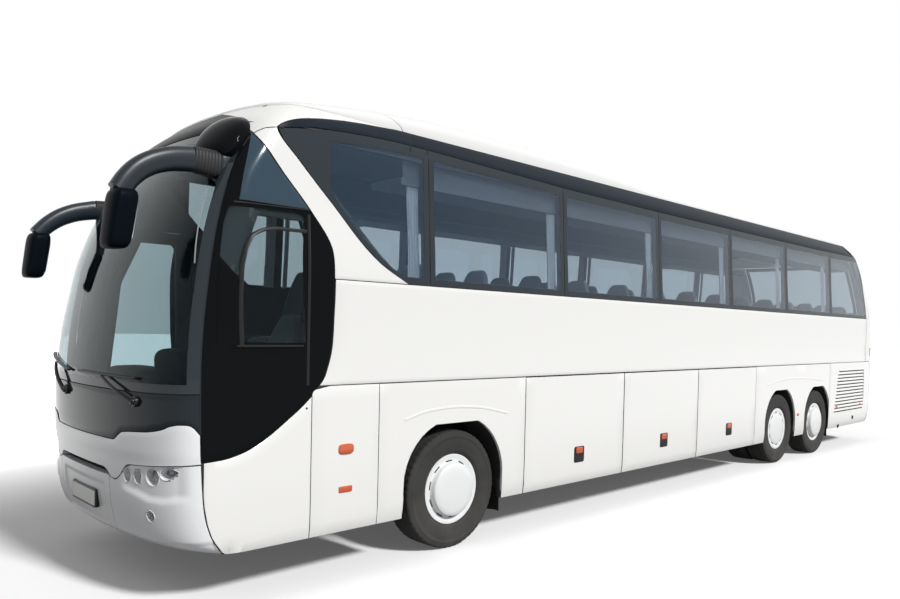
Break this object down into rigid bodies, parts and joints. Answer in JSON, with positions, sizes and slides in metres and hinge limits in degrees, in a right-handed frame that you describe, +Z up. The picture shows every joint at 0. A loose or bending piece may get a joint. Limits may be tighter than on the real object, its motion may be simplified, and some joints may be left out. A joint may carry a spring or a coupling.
{
  "type": "three-axle touring coach",
  "caption": "High-floor touring coach on three axles, with steered front wheels, hinged luggage doors, an engine lid and two passenger doors on swing arms.",
  "frame": {"origin": "on the ground below the middle of the coach's bounding box", "axes": "+X towards the nose, +Y to the coach's left, +Z up"},
  "size_m": [14.035, 2.64, 3.835],
  "materials": {
    "body_paint": "gloss warm-white paint",
    "mask_grey": "gloss white and black front mask",
    "black_gloss": "black glass-like panel",
    "side_glass": "tinted",
    "screen_glass": "lightly tinted",
    "lamp_lens": "clear lens",
    "dark_steel": "black chassis paint",
    "floor_covering": "vinyl floor",
    "engine_iron": "cast",
    "seat_cloth": "woven",
    "black_plastic": "moulded",
    "tyre": "rubber",
    "wheel_paint": "white wheel trim"
  },
  "bodies": {
    "coach_body": {"side_glass": "side_glass", "side_wall_left": "body_paint", "side_wall_right": "body_paint", "cab_side_panels": "black_gloss", "lower_panels": "body_paint", "front_mask": "mask_grey", "front_bumper": "body_paint", "windscreen": "screen_glass", "rear_window": "side_glass", "rear_wall": "body_paint", "rear_bumper": "body_paint", "lamps": "lamp_lens", "roof_panel": "body_paint", "roof_fairing": "body_paint", "floor_deck": "floor_covering", "underframe": "dark_steel", "engine_block": "engine_iron", "axles": "dark_steel", "seats": "seat_cloth", "dashboard": "black_plastic", "luggage_racks": "black_plastic", "mirrors": "black_plastic", "wipers": "black_plastic"},
    "knuckle_left": {"knuckle_left": "dark_steel"},
    "knuckle_right": {"knuckle_right": "dark_steel"},
    "tie_rod": {"tie_rod": "dark_steel"},
    "engine_lid": {"engine_lid": "body_paint"},
    "front_door_arm": {"front_door_arm": "dark_steel"},
    "front_door": {"front_door": "body_paint", "front_door_glass": "side_glass"},
    "middle_door_arm": {"middle_door_arm": "dark_steel"},
    "middle_door": {"middle_door": "body_paint", "middle_door_glass": "side_glass"},
    "front_wheel_left": {"front_tyre_left": "tyre", "front_rim_left": "wheel_paint"},
    "front_wheel_right": {"front_tyre_right": "tyre", "front_rim_right": "wheel_paint"},
    "drive_wheel_left": {"drive_tyres_left": "tyre", "drive_rims_left": "wheel_paint"},
    "drive_wheel_right": {"drive_tyres_right": "tyre", "drive_rims_right": "wheel_paint"},
    "tag_wheel_left": {"tag_tyre_left": "tyre", "tag_rim_left": "wheel_paint"},
    "tag_wheel_right": {"tag_tyre_right": "tyre", "tag_rim_right": "wheel_paint"},
    "luggage_door_left_1": {"luggage_door_left_1": "body_paint"},
    "luggage_door_left_2": {"luggage_door_left_2": "body_paint"},
    "luggage_door_left_3": {"luggage_door_left_3": "body_paint"},
    "luggage_door_right_1": {"luggage_door_right_1": "body_paint"},
    "luggage_door_right_2": {"luggage_door_right_2": "body_paint"}
  },
  "joints": [
    {"name": "steering_left", "type": "hinge", "parent": "coach_body", "child": "knuckle_left", "pos_m": [4.1025, 0.93, 0.522], "axis": [0, 0, 1], "range_deg": [-40, 40]},
    {"name": "steering_right", "type": "hinge", "parent": "coach_body", "child": "knuckle_right", "pos_m": [4.1025, -0.93, 0.522], "axis": [0, 0, 1], "range_deg": [-40, 40]},
    {"name": "tie_rod_turn", "type": "hinge", "parent": "knuckle_left", "child": "tie_rod", "pos_m": [3.8825, 0.93, 0.41], "axis": [0, 0, 1], "range_deg": [-40, 40]},
    {"name": "front_spin_left", "type": "hinge", "parent": "knuckle_left", "child": "front_wheel_left", "pos_m": [4.1025, 1.095, 0.522], "axis": [0, 1, 0], "continuous": true},
    {"name": "front_spin_right", "type": "hinge", "parent": "knuckle_right", "child": "front_wheel_right", "pos_m": [4.1025, -1.095, 0.522], "axis": [0, 1, 0], "continuous": true},
    {"name": "drive_spin_left", "type": "hinge", "parent": "coach_body", "child": "drive_wheel_left", "pos_m": [-2.7375, 1.095, 0.522], "axis": [0, 1, 0], "continuous": true},
    {"name": "drive_spin_right", "type": "hinge", "parent": "coach_body", "child": "drive_wheel_right", "pos_m": [-2.7375, -1.095, 0.522], "axis": [0, 1, 0], "continuous": true},
    {"name": "tag_spin_left", "type": "hinge", "parent": "coach_body", "child": "tag_wheel_left", "pos_m": [-4.2075, 1.095, 0.522], "axis": [0, 1, 0], "continuous": true},
    {"name": "tag_spin_right", "type": "hinge", "parent": "coach_body", "child": "tag_wheel_right", "pos_m": [-4.2075, -1.095, 0.522], "axis": [0, 1, 0], "continuous": true},
    {"name": "luggage_hinge_left_1", "type": "hinge", "parent": "coach_body", "child": "luggage_door_left_1", "pos_m": [2.35317, 1.269, 1.4877], "axis": [1, 0, 0], "range_deg": [0, 90]},
    {"name": "luggage_hinge_left_2", "type": "hinge", "parent": "coach_body", "child": "luggage_door_left_2", "pos_m": [0.6705, 1.269, 1.4877], "axis": [1, 0, 0], "range_deg": [0, 90]},
    {"name": "luggage_hinge_left_3", "type": "hinge", "parent": "coach_body", "child": "luggage_door_left_3", "pos_m": [-1.01217, 1.269, 1.4877], "axis": [1, 0, 0], "range_deg": [0, 90]},
    {"name": "luggage_hinge_right_1", "type": "hinge", "parent": "coach_body", "child": "luggage_door_right_1", "pos_m": [2.35317, -1.269, 1.4877], "axis": [-1, 0, 0], "range_deg": [0, 90]},
    {"name": "luggage_hinge_right_2", "type": "hinge", "parent": "coach_body", "child": "luggage_door_right_2", "pos_m": [0.6705, -1.269, 1.4877], "axis": [-1, 0, 0], "range_deg": [0, 90]},
    {"name": "engine_lid_hinge", "type": "hinge", "parent": "coach_body", "child": "engine_lid", "pos_m": [-6.95078, 0, 1.7437], "axis": [0, 1, 0], "range_deg": [0, 80]},
    {"name": "front_door_swing", "type": "hinge", "parent": "coach_body", "child": "front_door_arm", "pos_m": [6.1625, -1.12, 0.42], "axis": [0, 0, 1], "range_deg": [0, 95]},
    {"name": "front_door_turn", "type": "hinge", "parent": "front_door_arm", "child": "front_door", "pos_m": [5.6025, -1.12, 0.56], "axis": [0, 0, -1], "range_deg": [0, 95]},
    {"name": "middle_door_swing", "type": "hinge", "parent": "coach_body", "child": "middle_door_arm", "pos_m": [-1.6355, -1.12, 0.42], "axis": [0, 0, -1], "range_deg": [0, 95]},
    {"name": "middle_door_turn", "type": "hinge", "parent": "middle_door_arm", "child": "middle_door", "pos_m": [-1.0755, -1.12, 0.56], "axis": [0, 0, 1], "range_deg": [0, 95]}
  ],
  "couplings": [
    {"joint": "steering_right", "follows": "steering_left", "ratio": 1},
    {"joint": "tie_rod_turn", "follows": "steering_left", "ratio": -1},
    {"joint": "front_door_turn", "follows": "front_door_swing", "ratio": 1},
    {"joint": "middle_door_turn", "follows": "middle_door_swing", "ratio": 1}
  ]
}
